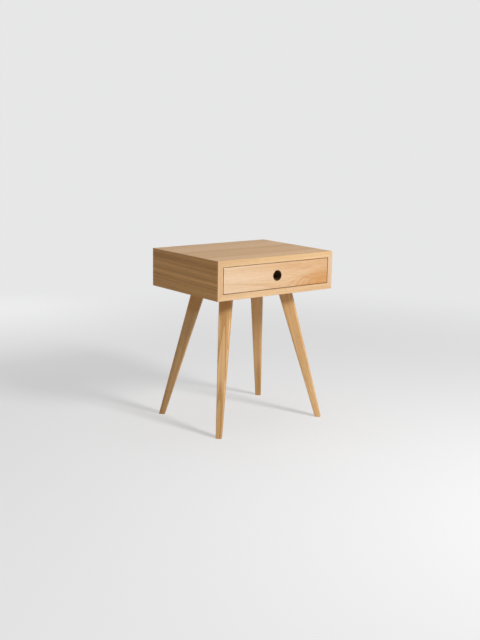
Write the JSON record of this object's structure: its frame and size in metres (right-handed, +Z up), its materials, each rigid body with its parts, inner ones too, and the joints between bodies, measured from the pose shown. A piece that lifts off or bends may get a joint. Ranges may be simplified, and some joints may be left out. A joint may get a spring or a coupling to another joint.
{
  "type": "nightstand",
  "caption": "Low oak bedside box with mitred corners, a flush drawer with a round finger hole on ball slides, and splayed tapered square legs.",
  "frame": {"origin": "on the floor, under the middle of the box", "axes": "+Z up, -Y to the front where the drawer opens, +X to the right of someone who faces the front"},
  "size_m": [0.45, 0.35, 0.545],
  "materials": {
    "oak_top": "oiled satin",
    "oak_side": "oiled satin",
    "oak_base": "oiled satin",
    "oak_lipping": "oiled satin",
    "oak_leg": "oiled satin",
    "oak_drawer_front": "oiled satin",
    "oak_drawer_box": "bare, sanded",
    "oak_plywood": "bare, sanded",
    "beech_spline": "bare",
    "zinc_plated_sheet": "zinc plated",
    "cage_sheet": "bare rolled sheet",
    "ball_steel": "polished",
    "stop_rubber": "matt",
    "screw_steel": "zinc plated",
    "insert_brass": "turned"
  },
  "bodies": {
    "carcass": {"top_panel": "oak_top", "left_side_panel": "oak_side", "right_side_panel": "oak_side", "bottom_panel": "oak_base", "top_lipping": "oak_lipping", "bottom_lipping": "oak_lipping", "left_lipping": "oak_lipping", "right_lipping": "oak_lipping", "back_panel": "oak_plywood", "spline_top_left": "beech_spline", "spline_top_right": "beech_spline", "spline_bottom_left": "beech_spline", "spline_bottom_right": "beech_spline", "leg_front_left": "oak_leg", "leg_front_right": "oak_leg", "leg_back_left": "oak_leg", "leg_back_right": "oak_leg", "leg_bolts": "screw_steel", "leg_inserts": "insert_brass", "slide_box_screws": "screw_steel", "left_slide_outer_member": "zinc_plated_sheet", "right_slide_outer_member": "zinc_plated_sheet", "left_slide_stop": "stop_rubber", "right_slide_stop": "stop_rubber"},
    "drawer": {"drawer_front": "oak_drawer_front", "drawer_inner_front": "oak_drawer_box", "drawer_left_side": "oak_drawer_box", "drawer_right_side": "oak_drawer_box", "drawer_back": "oak_drawer_box", "drawer_bottom": "oak_plywood", "drawer_front_screws": "screw_steel", "drawer_bottom_screws": "screw_steel", "slide_drawer_screws": "screw_steel", "left_slide_inner_member": "zinc_plated_sheet", "right_slide_inner_member": "zinc_plated_sheet"},
    "left_slide_middle": {"left_slide_middle_member": "zinc_plated_sheet"},
    "left_slide_outer_cage": {"left_slide_outer_cage": "cage_sheet", "left_slide_outer_balls": "ball_steel"},
    "left_slide_inner_cage": {"left_slide_inner_cage": "cage_sheet", "left_slide_inner_balls": "ball_steel"},
    "right_slide_middle": {"right_slide_middle_member": "zinc_plated_sheet"},
    "right_slide_outer_cage": {"right_slide_outer_cage": "cage_sheet", "right_slide_outer_balls": "ball_steel"},
    "right_slide_inner_cage": {"right_slide_inner_cage": "cage_sheet", "right_slide_inner_balls": "ball_steel"}
  },
  "joints": [
    {"name": "drawer_slide", "type": "slide", "parent": "carcass", "child": "drawer", "axis": [0, -1, 0], "range_m": [0, 0.3]},
    {"name": "left_slide_middle_travel", "type": "slide", "parent": "carcass", "child": "left_slide_middle", "axis": [0, -1, 0], "range_m": [0, 0.15]},
    {"name": "left_slide_outer_cage_travel", "type": "slide", "parent": "carcass", "child": "left_slide_outer_cage", "axis": [0, -1, 0], "range_m": [0, 0.075]},
    {"name": "left_slide_inner_cage_travel", "type": "slide", "parent": "carcass", "child": "left_slide_inner_cage", "axis": [0, -1, 0], "range_m": [0, 0.225]},
    {"name": "right_slide_middle_travel", "type": "slide", "parent": "carcass", "child": "right_slide_middle", "axis": [0, -1, 0], "range_m": [0, 0.15]},
    {"name": "right_slide_outer_cage_travel", "type": "slide", "parent": "carcass", "child": "right_slide_outer_cage", "axis": [0, -1, 0], "range_m": [0, 0.075]},
    {"name": "right_slide_inner_cage_travel", "type": "slide", "parent": "carcass", "child": "right_slide_inner_cage", "axis": [0, -1, 0], "range_m": [0, 0.225]}
  ],
  "couplings": [
    {"joint": "left_slide_middle_travel", "follows": "drawer_slide", "ratio": 0.5},
    {"joint": "left_slide_outer_cage_travel", "follows": "drawer_slide", "ratio": 0.25},
    {"joint": "left_slide_inner_cage_travel", "follows": "drawer_slide", "ratio": 0.75},
    {"joint": "right_slide_middle_travel", "follows": "drawer_slide", "ratio": 0.5},
    {"joint": "right_slide_outer_cage_travel", "follows": "drawer_slide", "ratio": 0.25},
    {"joint": "right_slide_inner_cage_travel", "follows": "drawer_slide", "ratio": 0.75}
  ]
}
